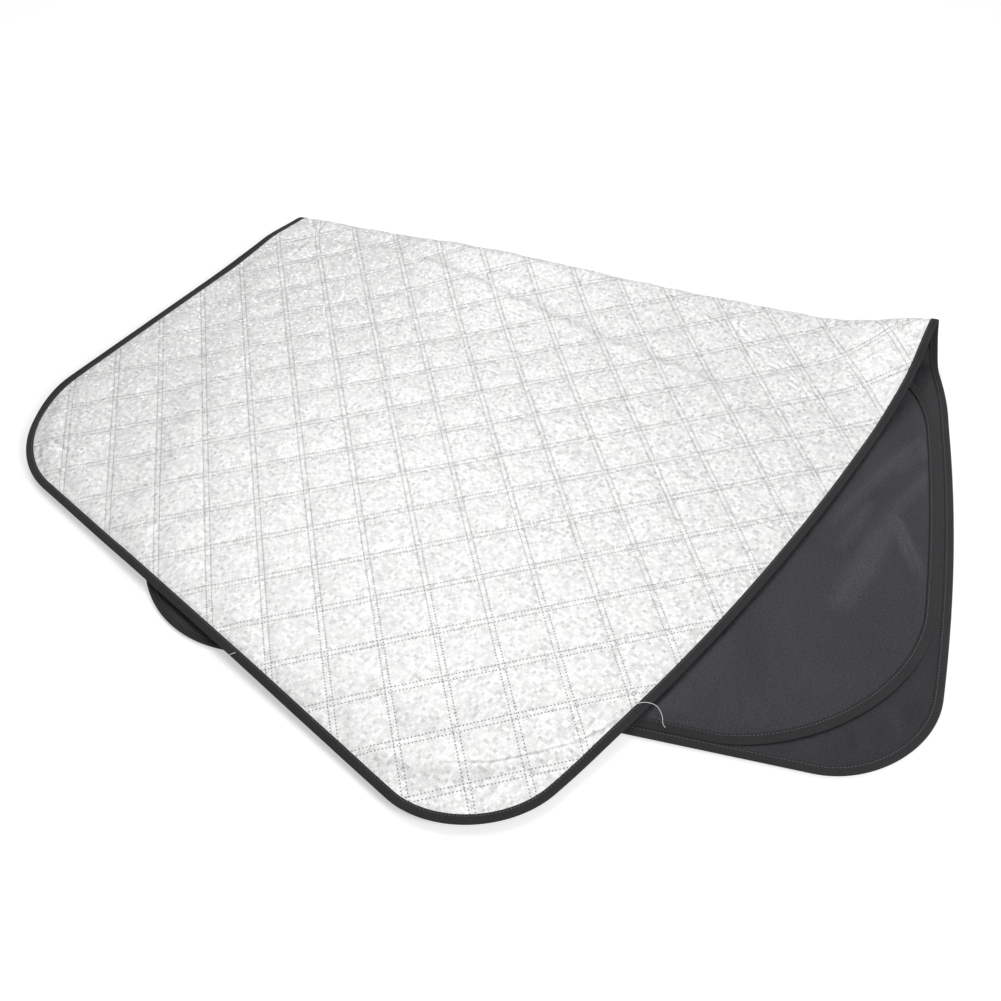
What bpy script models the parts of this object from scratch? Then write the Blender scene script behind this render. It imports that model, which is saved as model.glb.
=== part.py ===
"""Windshield sun shade: a quilted foil cover with two side wings, folded once across and laid flat.

The shade is drawn flat first, as its maker would cut it, and every layer is then bent by the same fold.
Flat drawing: x across the shade from its middle line, y up from the chord between the lower corners.
Folded shade: X runs along the fold, Y points towards the fold, Z is up, and the back half lies on Z = 0.
"""
import math

import bpy
import numpy as np
from mathutils import Vector
from mathutils.geometry import delaunay_2d_cdt

# Flat size of the shade, in metres; the widths are between the sharp corners
BOTTOM_WIDTH = 1.464
TOP_WIDTH = 1.284
SIDE_RISE = 0.796
BELLY = 0.086
BELLY_POWER = 2.35
LOWER_CORNER_RADIUS = 0.089
UPPER_CORNER_RADIUS = 0.142

# Layers, counted from the face between the quilted panel and the lining
PANEL_THICKNESS = 0.0040
SEAM_THICKNESS = 0.0034
QUILT_PUFF = 0.0014
LINING_THICKNESS = 0.0006
LAYER_GAP = 0.0003

# Quilting: one crossing of the seams, their spacing, how far they are turned, and the share of the
# loop's outer quarter over which the pads are pressed flat towards the floor
QUILT_PITCH = 0.055
QUILT_CROSSING = (0.0115, 0.389)
QUILT_TURN_DEG = -42.1
PRESS_SHARE = 0.8

# Tape round the edge of the shade
BINDING_WIDTH = 0.0090
TAPE_THICKNESS = 0.0006
TAPE_WEB = 0.0009
TAPE_CHAMFER = 0.0012
TAPE_GAP = 0.0006
RIM_STEP = 0.0022

# Side wings, sewn to the short edges and turned in between the two halves
WING_REACH = 0.640
WING_MARGIN = 0.014
WING_SEWN_RADIUS = 0.168
WING_FREE_RADIUS = 0.190
WING_THICKNESS = 0.0008
WING_TAPE_WIDTH = 0.010
WING_TAPE_THICKNESS = 0.0005

# Fold: where it starts on the lower edge, how far it leans, and the open height of its loop along it
FOLD_FOOT_X = 0.1270
FOLD_LEAN_DEG = 14.18
LOOP_AT = (0.0, 0.15, 0.32, 0.59, 0.80)
LOOP_HEIGHT = (0.062, 0.012, 0.012, 0.029, 0.017)
LOOP_RUN = 0.165
LOOP_SAG = 0.70
HALVES_CLEARANCE = 0.0006

# Sharp crease at the fold's foot: the shares of its section where its slope changes, the slopes there, and
# the distance along the fold over which the crease eases into a round loop
CREASE_AT = (0.0, 0.24, 0.38, 0.70, 1.0)
CREASE_SLOPE_DEG = (20.0, 20.0, -93.0, -93.0, -180.0)
CREASE_LENGTH = 0.10

# Small pull of the crease on the lower edge, and how the back half lies under the front one
END_DRAW = 0.0085
END_DRAW_LENGTH = 0.15
END_DRAW_WIDTH = 0.12
BACK_TURN_DEG = -0.9
BACK_SHIFT = -0.003
BACK_BLEND = 0.10

# Fineness of the meshes
FINE_STEP = 0.002
LONGEST_STEP = 0.060
CHORD_ERROR = 0.00025
COLUMN_STEP = 0.036
LOOP_ROWS = (0.0, 0.13, 0.24, 0.31, 0.38, 0.53, 0.68, 0.84, 1.0)
RUN_ROWS = (0.12, 0.28, 0.46, 0.70, 1.0)
QUILT_CLEAR = 0.012

LEAN = (BOTTOM_WIDTH - TOP_WIDTH) / 2 / SIDE_RISE
FOLD_LEAN = math.radians(FOLD_LEAN_DEG)
ALONG = np.array([-math.sin(FOLD_LEAN), math.cos(FOLD_LEAN)])
ACROSS = np.array([math.cos(FOLD_LEAN), math.sin(FOLD_LEAN)])
RIM = TAPE_WEB + LAYER_GAP
LINING_TOP = -LAYER_GAP
LINING_BOTTOM = LINING_TOP - LINING_THICKNESS
TAPE_LIP = PANEL_THICKNESS - TAPE_THICKNESS
WING_TAPE_HALF = WING_THICKNESS / 2 + TAPE_GAP + WING_TAPE_THICKNESS
WING_MIDDLE = LINING_BOTTOM - LAYER_GAP - WING_TAPE_HALF
STACK = WING_TAPE_HALF - WING_MIDDLE
FRONT_LEVEL = PANEL_THICKNESS + 2 * STACK + HALVES_CLEARANCE


def smooth(value):
    """Ease from 0 to 1 as value goes from 0 to 1."""
    value = np.clip(value, 0, 1)
    return value * value * (3 - 2 * value)


def bow(points):
    """Bend the straight lower edge of the flat drawing into its belly, and fade that out upwards."""
    x, y = points[:, 0], points[:, 1]
    drop = BELLY * (1 - np.abs(2 * x / BOTTOM_WIDTH) ** BELLY_POWER) * (1 - y / SIDE_RISE)
    return np.column_stack([x, y - drop])


def fold_foot():
    """Point of the lower edge where the fold starts."""
    return bow(np.array([[FOLD_FOOT_X, 0.0]]))[0]


def along_and_across(points):
    """Distance along the fold from its foot, and distance across it, positive on the back half."""
    away = points - fold_foot()
    return away @ ALONG, away @ ACROSS


def loop_height(along):
    """Open height of the fold's loop, eased between the stated places."""
    height = np.full(along.shape, LOOP_HEIGHT[0])
    for left, right, low, high in zip(LOOP_AT, LOOP_AT[1:], LOOP_HEIGHT, LOOP_HEIGHT[1:]):
        share = (along - left) / (right - left)
        height = np.where(share > 0, low + (high - low) * smooth(share), height)
    return height


def crease_section():
    """Section of the creased fold, one unit long: shares of its length, y, z and slope, ending on the floor."""
    share = np.linspace(0, 1, 201)
    slope = np.radians(np.interp(share, CREASE_AT, CREASE_SLOPE_DEG))
    middle = (slope[1:] + slope[:-1]) / 2
    y = np.concatenate([[0], np.cumsum(np.cos(middle))]) * share[1]
    z = np.concatenate([[0], np.cumsum(np.sin(middle))]) * share[1]
    return share, y - y[-1] * share, z - z[-1], slope


def folded(points, level):
    """Fold flat points; level is the height over the panel's inner face, towards the foil."""
    along, across = along_and_across(points)
    height = loop_height(along)
    quarter = math.pi * height / 4
    front, back = across < -quarter, across > quarter
    run = np.clip((-across - quarter) / LOOP_RUN, 0, 1)
    sag = LOOP_SAG * (1 - run) ** 2 + (1 - LOOP_SAG) * (1 - smooth(run))

    creased = 1 - smooth(along / CREASE_LENGTH)
    place = (np.clip(across / quarter, -1, 1) + 1) / 2
    share, crease_y, crease_z, slope = crease_section()
    crease_angle = np.clip(-np.interp(place, share, slope) - math.pi / 2, -math.pi / 2, math.pi / 2)
    round_angle = (place - 0.5) * math.pi
    angle = round_angle + creased * (crease_angle - round_angle)
    loop_y = height / 2 * np.cos(round_angle)
    loop_y += creased * (2 * quarter * np.interp(place, share, crease_y) - loop_y)
    loop_z = height / 2 * (1 - np.sin(round_angle))
    loop_z += creased * (2 * quarter * np.interp(place, share, crease_z) - loop_z)

    x = -along
    y = np.where(front | back, -np.abs(across), loop_y - quarter)
    z = PANEL_THICKNESS + loop_z
    z = np.where(front, FRONT_LEVEL + (z - FRONT_LEVEL) * sag, z)

    x = x - END_DRAW * (1 - smooth(along / END_DRAW_LENGTH)) * (1 - smooth(np.abs(across) / END_DRAW_WIDTH))

    share = smooth((across - quarter) / BACK_BLEND)
    turn = math.radians(BACK_TURN_DEG) * share
    turned_x = np.cos(turn) * x - np.sin(turn) * y
    turned_y = np.sin(turn) * x + np.cos(turn) * y + BACK_SHIFT * share
    return np.column_stack([turned_x, turned_y + np.cos(angle) * level, z - np.sin(angle) * level])


def rounded_outline(corners, radii):
    """Closed outline of straight sides and round corners, counter-clockwise, as closely spaced points."""
    corners = np.array(corners, float)
    points = []
    for i, (corner, radius) in enumerate(zip(corners, radii)):
        before = corners[i - 1] - corner
        after = corners[(i + 1) % len(corners)] - corner
        before, after = before / np.linalg.norm(before), after / np.linalg.norm(after)
        half = math.acos(before @ after) / 2
        middle = (before + after) / np.linalg.norm(before + after)
        centre = corner + middle * radius / math.sin(half)
        start = math.atan2(*(corner + before * radius / math.tan(half) - centre)[::-1])
        sweep = math.pi - 2 * half
        count = max(3, math.ceil(radius * sweep / FINE_STEP))
        turns = start + sweep * np.arange(count + 1) / count
        points.append(centre + radius * np.column_stack([np.cos(turns), np.sin(turns)]))
    outline = []
    for i, arc in enumerate(points):
        following = points[(i + 1) % len(points)][0]
        count = max(1, math.ceil(np.linalg.norm(following - arc[-1]) / FINE_STEP))
        shares = np.arange(1, count)[:, None] / count
        outline += [arc, arc[-1] + (following - arc[-1]) * shares]
    return np.vstack(outline)


def inward(points):
    """Unit vectors square to a closed counter-clockwise outline, pointing in."""
    tangent = np.roll(points, -1, axis=0) - np.roll(points, 1, axis=0)
    tangent = tangent / np.linalg.norm(tangent, axis=1)[:, None]
    return np.column_stack([-tangent[:, 1], tangent[:, 0]])


def thinned(points):
    """Indices of the outline points that the folded shape needs."""
    space = folded(points, np.full(len(points), PANEL_THICKNESS))
    travelled = np.concatenate([[0], np.cumsum(np.linalg.norm(np.diff(points, axis=0), axis=1))])
    kept = [0]
    for i in range(2, len(points)):
        first = kept[-1]
        chord = space[i] - space[first]
        between = space[first + 1:i] - space[first]
        share = np.clip(between @ chord / (chord @ chord), 0, 1)
        error = np.linalg.norm(between - share[:, None] * chord, axis=1).max()
        if error > CHORD_ERROR or travelled[i] - travelled[first] > LONGEST_STEP:
            kept.append(i - 1)
    return kept


def stations(corners, radii):
    """Outline points to build on, with their inward directions."""
    outline = bow(rounded_outline(corners, radii))
    kept = thinned(outline)
    return outline[kept], inward(outline)[kept]


def shade_corners():
    """Sharp corners of the shade before the lower edge is bowed, and their radii."""
    wide, narrow = BOTTOM_WIDTH / 2, TOP_WIDTH / 2
    corners = [(-narrow, SIDE_RISE), (-wide, 0.0), (wide, 0.0), (narrow, SIDE_RISE)]
    return corners, [UPPER_CORNER_RADIUS, LOWER_CORNER_RADIUS, LOWER_CORNER_RADIUS, UPPER_CORNER_RADIUS]


def side_distance(points):
    """Distance in from the nearer short edge."""
    return (BOTTOM_WIDTH / 2 - LEAN * points[:, 1] - np.abs(points[:, 0])) / math.hypot(1, LEAN)


def wing_corners(side):
    """Sharp corners of a wing turned in; side is -1 for the front half and 1 for the back half."""
    sewn = (BINDING_WIDTH - TAPE_WEB) * math.hypot(1, LEAN)
    low, high = WING_MARGIN, SIDE_RISE - WING_MARGIN
    outer_low = BOTTOM_WIDTH / 2 - LEAN * low - sewn
    outer_high = BOTTOM_WIDTH / 2 - LEAN * high - sewn
    free = BOTTOM_WIDTH / 2 - WING_REACH
    corners = [(-outer_high, high), (-outer_low, low), (-free, low), (-free, high)]
    radii = [WING_SEWN_RADIUS, WING_SEWN_RADIUS, WING_FREE_RADIUS, WING_FREE_RADIUS]
    if side > 0:
        corners = [(-x, y) for x, y in corners[::-1]]
        radii = radii[::-1]
    return corners, radii


def fold_points():
    """Flat points in rows beside the fold, so that its loop and its run-out are round enough."""
    length = SIDE_RISE / math.cos(FOLD_LEAN) + BELLY
    columns = np.linspace(0, length, math.ceil(length / COLUMN_STEP) + 1)
    quarter = math.pi * loop_height(columns) / 4
    rows = [quarter * (2 * share - 1) for share in LOOP_ROWS]
    rows += [-quarter - LOOP_RUN * share for share in RUN_ROWS]
    rows.append(quarter + BACK_BLEND)
    rows.append(quarter + BACK_BLEND / 2)
    return np.vstack([fold_foot() + np.outer(columns, ALONG) + np.outer(row, ACROSS) for row in rows])


def inside(points, outline, clear):
    """Which points lie in a closed outline and at least clear of it."""
    following = np.roll(outline, -1, axis=0)
    side = following - outline
    result = np.zeros(len(points), bool)
    for i, point in enumerate(points):
        away = point - outline
        share = np.clip((away * side).sum(1) / (side ** 2).sum(1), 0, 1)
        nearest = np.linalg.norm(away - share[:, None] * side, axis=1).min()
        crosses = (outline[:, 1] > point[1]) != (following[:, 1] > point[1])
        level = outline[crosses]
        at = level[:, 0] + (point[1] - level[:, 1]) * side[crosses, 0] / side[crosses, 1]
        result[i] = np.count_nonzero(at > point[0]) % 2 == 1 and nearest > clear
    return result


def quilt_axes():
    """Directions of the two families of seams."""
    turn = math.radians(QUILT_TURN_DEG)
    return np.array([math.cos(turn), math.sin(turn)]), np.array([-math.sin(turn), math.cos(turn)])


def quilt_points(rim):
    """Seam crossings and pad middles of the front half, and the seams between the crossings."""
    one, other = quilt_axes()
    count = math.ceil(BOTTOM_WIDTH / QUILT_PITCH)
    steps = np.arange(-count, count + 1)
    grid = [(i, j) for i in steps for j in steps]
    crossings = np.array([np.array(QUILT_CROSSING) + QUILT_PITCH * (i * one + j * other) for i, j in grid])
    middles = crossings + QUILT_PITCH / 2 * (one + other)

    def usable(points):
        along, across = along_and_across(points)
        clear_of_fold = across < -math.pi * loop_height(along) / 4 - QUILT_CLEAR / 2
        chosen = np.zeros(len(points), bool)
        chosen[clear_of_fold] = inside(points[clear_of_fold], rim, QUILT_CLEAR)
        return chosen

    kept = usable(crossings)
    number = {pair: n for n, pair in enumerate(p for p, use in zip(grid, kept) if use)}
    seams = [(n, number[after]) for (i, j), n in number.items() for after in ((i + 1, j), (i, j + 1))
             if after in number]
    return crossings[kept], seams, middles[usable(middles)]


def puff(points):
    """Share of the pad's full height: 0 on a seam, 1 in the middle of a pad."""
    away = points - np.array(QUILT_CROSSING)
    nearest = [np.abs((away @ axis / QUILT_PITCH + 0.5) % 1 - 0.5) for axis in quilt_axes()]
    return 2 * np.minimum(*nearest)


def triangulated(loops, loose, seams=()):
    """Triangles of a flat region: closed loops of points, loose points and edges among the loose points."""
    points = np.vstack(loops + [loose])
    edges, first = [], 0
    for loop in loops:
        edges += [(first + i, first + (i + 1) % len(loop)) for i in range(len(loop))]
        first += len(loop)
    edges += [(first + a, first + b) for a, b in seams]
    found = delaunay_2d_cdt([Vector(p) for p in points], edges, [], 1, 1e-7)
    flat = np.array([tuple(p) for p in found[0]])
    return flat, [tuple(face) for face in found[2]]


def add_object(name, corners, faces, material):
    """Make one layer's object."""
    mesh = bpy.data.meshes.new(name)
    mesh.from_pydata(corners.tolist(), [], faces)
    mesh.materials.append(material)
    bpy.context.scene.collection.objects.link(bpy.data.objects.new(name, mesh))


def slab(upper, lower, upper_level, lower_level, rim_count):
    """Closed sheet between two triangulations whose first rim_count points are the same outline."""
    upper_points, upper_faces = upper
    lower_points, lower_faces = lower
    top = folded(upper_points, upper_level)
    bottom = folded(lower_points, lower_level)
    first = len(top)
    faces = list(upper_faces)
    faces += [tuple(first + i for i in face[::-1]) for face in lower_faces]
    for i in range(rim_count):
        following = (i + 1) % rim_count
        faces += [(i, first + i, first + following), (i, first + following, following)]
    return np.vstack([top, bottom]), faces


def swept(points, normals, section, closed):
    """Sweep a section of (distance in, level) corners along an outline."""
    rings = [folded(points + normals * distance, np.full(len(points), level)) for distance, level in section]
    corners = np.stack(rings, axis=1).reshape(-1, 3)
    size, count = len(section), len(points)
    faces = []
    for i in range(count if closed else count - 1):
        here, ahead = i * size, (i + 1) % count * size
        for k in range(size):
            after = (k + 1) % size
            faces += [(here + k, here + after, ahead + after), (here + k, ahead + after, ahead + k)]
    if not closed:
        faces += end_cap(0, size, False) + end_cap((count - 1) * size, size, True)
    return corners, faces


def end_cap(first, size, far):
    """Close the end of a tape whose section lists its outside, then its inside."""
    half = size // 2
    quads = [(first + k, first + size - 1 - k, first + size - 2 - k, first + k + 1) for k in range(half - 1)]
    faces = []
    for a, b, c, d in quads:
        faces += [(a, b, c), (a, c, d)]
    return [face[::-1] for face in faces] if far else faces


def edge_section():
    """Section of the tape round the shade's edge: outside from the foil lip round to the lining lip, then inside."""
    low = LINING_BOTTOM - TAPE_GAP - TAPE_THICKNESS
    outside = [(BINDING_WIDTH, PANEL_THICKNESS), (TAPE_CHAMFER, PANEL_THICKNESS),
               (0.0, PANEL_THICKNESS - TAPE_CHAMFER), (0.0, low + TAPE_CHAMFER),
               (TAPE_CHAMFER, low), (BINDING_WIDTH, low)]
    top, bottom = TAPE_LIP, low + TAPE_THICKNESS
    soft = TAPE_CHAMFER / 2
    inside_line = [(BINDING_WIDTH, bottom), (TAPE_WEB + soft, bottom), (TAPE_WEB, bottom + soft),
                   (TAPE_WEB, top - soft), (TAPE_WEB + soft, top), (BINDING_WIDTH, top)]
    return outside + inside_line


def wing_section():
    """Section of the tape round a wing's free edges."""
    half, lip = WING_TAPE_HALF, WING_TAPE_HALF - WING_TAPE_THICKNESS
    outside = [(WING_TAPE_WIDTH, WING_MIDDLE + half), (0.0, WING_MIDDLE + half),
               (0.0, WING_MIDDLE - half), (WING_TAPE_WIDTH, WING_MIDDLE - half)]
    inside_line = [(WING_TAPE_WIDTH, WING_MIDDLE - lip), (TAPE_WEB, WING_MIDDLE - lip),
                   (TAPE_WEB, WING_MIDDLE + lip), (WING_TAPE_WIDTH, WING_MIDDLE + lip)]
    return outside + inside_line


def foil_level(points, under_tape):
    """Height of the foil over the panel's inner face; its first points, under_tape in number, are in the tape."""
    along, across = along_and_across(points)
    quarter = math.pi * loop_height(along) / 4
    unpressed = smooth((quarter - across) / (PRESS_SHARE * quarter))
    level = PANEL_THICKNESS + (SEAM_THICKNESS + QUILT_PUFF * puff(points) - PANEL_THICKNESS) * unpressed
    level[:under_tape] = TAPE_LIP - TAPE_GAP
    return level


def quilted_panel_and_lining(points, normals):
    """The padded foil panel and the lining under it, on the same rows of points beside the fold."""
    rim = points + normals * RIM
    under_tape = points + normals * BINDING_WIDTH
    beside_tape = points + normals * (BINDING_WIDTH + RIM_STEP)
    rows = fold_points()
    inner_rows = rows[inside(rows, under_tape, QUILT_CLEAR / 2)]
    inner = triangulated([rim, under_tape], inner_rows)
    outer_rows = rows[inside(rows, beside_tape, QUILT_CLEAR / 3)]
    crossings, seams, middles = quilt_points(beside_tape)
    loose = np.vstack([crossings, middles, outer_rows])
    outer = triangulated([rim, under_tape, beside_tape], loose, seams)
    count = len(points)
    none = np.zeros(len(inner[0]))
    panel = slab(outer, inner, foil_level(outer[0], 2 * count), none, count)
    lining = slab(inner, inner, none + LINING_TOP, none + LINING_BOTTOM, count)
    return panel, lining


def wing(side):
    """A wing's sheet and the tape round its free edges."""
    points, normals = stations(*wing_corners(side))
    rim = points + normals * RIM
    under_tape = points + normals * WING_TAPE_WIDTH
    rows = fold_points()
    rows = rows[inside(rows, under_tape, QUILT_CLEAR / 2)]
    flat = triangulated([rim, under_tape], rows)
    level = np.full(len(flat[0]), WING_MIDDLE)
    sheet = slab(flat, flat, level + WING_THICKNESS / 2, level - WING_THICKNESS / 2, len(points))
    loose = side_distance(points) > BINDING_WIDTH + LAYER_GAP
    start = next(i for i in range(len(points)) if loose[i] and not loose[i - 1])
    order = [(start + i) % len(points) for i in range(np.count_nonzero(loose))]
    tape = swept(points[order], normals[order], wing_section(), closed=False)
    return sheet, tape


def finish(name, colour, roughness, metallic=0.0):
    """A plain material."""
    material = bpy.data.materials.new(name)
    material.use_nodes = True
    shader = material.node_tree.nodes["Principled BSDF"]
    shader.inputs["Base Color"].default_value = (*colour, 1.0)
    shader.inputs["Roughness"].default_value = roughness
    shader.inputs["Metallic"].default_value = metallic
    return material


def build():
    """Make every layer, then set the folded shade down in the middle of its floor area."""
    points, normals = stations(*shade_corners())
    panel, lining = quilted_panel_and_lining(points, normals)
    front_sheet, front_tape = wing(-1)
    back_sheet, back_tape = wing(1)
    edge = swept(points, normals, edge_section(), closed=True)

    foil = finish("foil", (0.74, 0.75, 0.76), 0.38, 0.55)
    cloth = finish("lining_cloth", (0.035, 0.035, 0.038), 0.55)
    wing_cloth = finish("wing_cloth", (0.040, 0.040, 0.045), 0.45)
    tape = finish("binding_tape", (0.030, 0.030, 0.031), 0.80)
    layers = {
        "quilted_panel": (panel, foil), "lining": (lining, cloth), "edge_binding": (edge, tape),
        "front_wing": (front_sheet, wing_cloth), "front_wing_binding": (front_tape, tape),
        "back_wing": (back_sheet, wing_cloth), "back_wing_binding": (back_tape, tape),
    }
    everything = np.vstack([shape[0] for shape, _ in layers.values()])
    low, high = everything.min(axis=0), everything.max(axis=0)
    origin = np.array([(low[0] + high[0]) / 2, (low[1] + high[1]) / 2, 0.0])
    for name, ((corners, faces), material) in layers.items():
        add_object(name, corners - origin, faces, material)


for old in list(bpy.data.objects):
    bpy.data.objects.remove(old, do_unlink=True)
build()
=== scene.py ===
"""Windshield sun shade, folded once across and laid flat: foil, lining, side wings, tapes and stitches.

Each sheet is drawn flat as it was cut, given its relief, and bent by the same fold as the frame's solids.
Flat drawing: x across the shade from its middle line, y up from the chord between the lower corners.
Folded shade: X runs along the fold, Y points towards the fold, Z is up, and the back half lies on Z = 0.
Lengths are in metres.
"""
import math

import bmesh
import bpy
import numpy as np
from mathutils import Matrix, Vector
from mathutils.geometry import delaunay_2d_cdt


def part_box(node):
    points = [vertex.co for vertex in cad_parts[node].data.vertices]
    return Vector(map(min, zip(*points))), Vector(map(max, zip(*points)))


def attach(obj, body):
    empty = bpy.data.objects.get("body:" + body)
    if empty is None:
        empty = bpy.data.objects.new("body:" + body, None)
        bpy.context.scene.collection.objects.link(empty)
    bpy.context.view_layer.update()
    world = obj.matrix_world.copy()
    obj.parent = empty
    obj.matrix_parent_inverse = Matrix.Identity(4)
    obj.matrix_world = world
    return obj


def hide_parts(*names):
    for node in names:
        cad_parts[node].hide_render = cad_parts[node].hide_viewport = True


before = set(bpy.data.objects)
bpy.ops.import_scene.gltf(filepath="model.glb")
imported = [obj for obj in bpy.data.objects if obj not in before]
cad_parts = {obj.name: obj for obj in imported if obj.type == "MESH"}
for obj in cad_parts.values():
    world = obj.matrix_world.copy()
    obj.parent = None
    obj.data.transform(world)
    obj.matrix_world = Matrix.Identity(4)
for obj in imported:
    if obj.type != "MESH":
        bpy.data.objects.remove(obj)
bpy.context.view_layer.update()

# Flat size of the shade, in metres; the widths are between the sharp corners
BOTTOM_WIDTH = 1.464
TOP_WIDTH = 1.284
SIDE_RISE = 0.796
BELLY = 0.086
BELLY_POWER = 2.35
LOWER_CORNER_RADIUS = 0.089
UPPER_CORNER_RADIUS = 0.142

# Layers, counted from the face between the quilted panel and the lining
PANEL_THICKNESS = 0.0040
LINING_THICKNESS = 0.0006
LAYER_GAP = 0.0003
TAPE_THICKNESS = 0.0006
TAPE_GAP = 0.0006
TAPE_CHAMFER = 0.0012
BINDING_WIDTH = 0.0090
WING_THICKNESS = 0.0008
WING_TAPE_WIDTH = 0.010
WING_TAPE_THICKNESS = 0.0005

# Side wings
WING_REACH = 0.640
WING_MARGIN = 0.014
WING_SEWN_RADIUS = 0.168
WING_FREE_RADIUS = 0.190
TAPE_WEB = 0.0009
SEWN_CLEAR = 0.0006

# Quilting
QUILT_PITCH = 0.055
QUILT_CROSSING = np.array([0.0115, 0.389])
QUILT_TURN_DEG = -42.1
SEAM_BAND = 0.0055
SEAM_LEVEL = 0.0031
PAD_PUFF = 0.0013
PRESS_SHARE = 0.8

# The foil's pressed squares and dots, and the lower corner near which the dots are pressed deepest
MOSAIC = 0.0033
DOT_PITCH = 0.00345
DOT_RADIUS = 0.00085
NEAR_CORNER = (-0.70, 0.02)

# Creases of the foil, as places of the flat drawing: the turned-in wing's edge, the crumpled band near the
# fold, the ripples on the fold's crest, and the pulls at the upper corners with their directions in degrees
WING_CREASE = ((-0.670, 0.078), (-0.643, 0.039), (-0.609, 0.007), (-0.584, -0.013), (-0.554, -0.029),
               (-0.517, -0.041))
CRUMPLE = ((-0.080, -0.022), (-0.046, 0.022), (-0.018, 0.060), (-0.008, 0.100), (0.000, 0.140),
           (0.012, 0.165), (0.034, 0.225))
CREST_RIPPLES = ((0.094, -0.052), (0.082, 0.046))
CORNER_PULLS = (((-0.600, 0.745), 0.060, (185, 200, 215, 232, 250, 268)),
                ((-0.125, 0.735), 0.055, (20, 55, 150, 190, 230)))
CREASE_WIDTH = 0.0012

# Wrinkles of the back wing: their lines in the flat drawing, heights and widths
WING_WRINKLES = ((((0.290, -0.046), (0.362, 0.013), (0.435, 0.068)), 0.0040, 0.0060),
                 (((0.300, -0.060), (0.355, -0.006)), 0.0028, 0.0050),
                 (((0.340, -0.050), (0.414, 0.000), (0.462, -0.012), (0.505, -0.022)), 0.0036, 0.0055),
                 (((0.395, 0.020), (0.470, 0.057)), 0.0030, 0.0045),
                 (((0.415, -0.002), (0.483, 0.033), (0.550, 0.066)), 0.0042, 0.0110))
WING_RIPPLE = 0.0008
LINING_RISE = 0.0009

# Fold: where it starts on the lower edge, how far it leans, and the open height of its loop along it
FOLD_FOOT_X = 0.1270
FOLD_LEAN_DEG = 14.18
LOOP_AT = (0.0, 0.15, 0.32, 0.59, 0.80)
LOOP_HEIGHT = (0.062, 0.012, 0.012, 0.029, 0.017)
LOOP_RUN = 0.165
LOOP_SAG = 0.70
HALVES_CLEARANCE = 0.0006

# Sharp crease at the fold's foot: where along its section the slope changes, the slopes in degrees, and
# the distance along the fold over which the crease eases into a round loop
CREASE_AT = (0.0, 0.24, 0.38, 0.70, 1.0)
CREASE_SLOPE_DEG = (20.0, 20.0, -93.0, -93.0, -180.0)
CREASE_LENGTH = 0.10

# Small pulls that the fold makes in the cloth, and how the back half lies under the front one
END_DRAW = 0.0085
END_DRAW_LENGTH = 0.15
END_DRAW_WIDTH = 0.12
BACK_TURN_DEG = -0.9
BACK_SHIFT = -0.003
BACK_BLEND = 0.10

# What the cloth does by itself: eased bends, edges pinched by their tape, corners that sink where nothing
# lies under them, a front half that sinks beside its wing, and the pulls on the upper edge
FOLD_EASE = 0.22
PINCH = 0.50
PINCH_RUN = 0.024
PINCH_LEVEL = 0.0009
EASING = ((-1.0, 1 / 9), (-0.5, 2 / 9), (0.0, 3 / 9), (0.5, 2 / 9), (1.0, 1 / 9))
CORNER_SINK = 0.0030
CORNER_SINK_OVER = 0.060
WING_STEP = 0.0018
WING_STEP_OVER = 0.014
FAR_CURL = 0.0050
FAR_CURL_OVER = 0.024
FAR_DRAW = 0.013
FAR_DRAW_LENGTH = 0.13
FAR_DRAW_WIDTH = 0.07
BACK_TUCK = 0.0040

# Topstitching of the tapes
STITCH_PITCH = 0.0036
STITCH_LENGTH = 0.0028
STITCH_RADIUS = 0.00040
STITCH_INSET = 0.0017

# Camera, placed in the fold's own axes with its foot as the origin
CAMERA_AT = (-0.1001, -1.0959, 0.8462)
CAMERA_RIGHT = (0.9272, 0.3711, -0.0514)
CAMERA_UP = (-0.2458, 0.7061, 0.6641)
CAMERA_BACK = (0.2827, -0.6031, 0.7459)
CAMERA_LENS = 36.66

# Light: the world's strength, the floor's lift towards white, and the lamps' names, places, sizes and watts
WORLD_LIGHT = 0.32
FLOOR_LIFT = 0.44
LAMPS = (("overhead", (-0.8, 1.0, 2.2), 1.4, 20.0), ("side", (1.9, -0.6, 1.3), 0.7, 27.0))

# Loose white thread on the back wing and a pale stitch across the tape, in the frame's metres
THREAD_RADIUS = 0.0003
LOOSE_THREAD = ((0.2690, -0.2295, 0.0165), (0.2780, -0.2213, 0.0165), (0.2848, -0.2185, 0.0160),
                (0.2933, -0.2177, 0.0135), (0.2985, -0.2223, 0.0115), (0.3020, -0.2278, 0.0100),
                (0.3025, -0.2326, 0.0092), (0.3059, -0.2345, 0.0090))
PALE_STITCH = ((-0.1122, -0.3085, 0.0166), (-0.1098, -0.3060, 0.0172), (-0.1074, -0.3036, 0.0166))

LEAN = (BOTTOM_WIDTH - TOP_WIDTH) / 2 / SIDE_RISE
FOLD_LEAN = math.radians(FOLD_LEAN_DEG)
ALONG = np.array([-math.sin(FOLD_LEAN), math.cos(FOLD_LEAN)])
ACROSS = np.array([math.cos(FOLD_LEAN), math.sin(FOLD_LEAN)])
RIM = TAPE_WEB + LAYER_GAP
LINING_TOP = -LAYER_GAP
LINING_BOTTOM = LINING_TOP - LINING_THICKNESS
TAPE_LIP = PANEL_THICKNESS - TAPE_THICKNESS
TAPE_LOW = LINING_BOTTOM - TAPE_GAP - TAPE_THICKNESS
WING_TAPE_HALF = WING_THICKNESS / 2 + TAPE_GAP + WING_TAPE_THICKNESS
WING_MIDDLE = LINING_BOTTOM - LAYER_GAP - WING_TAPE_HALF
STACK = WING_TAPE_HALF - WING_MIDDLE
FRONT_LEVEL = PANEL_THICKNESS + 2 * STACK + HALVES_CLEARANCE


# Shapes of the flat drawing


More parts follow.
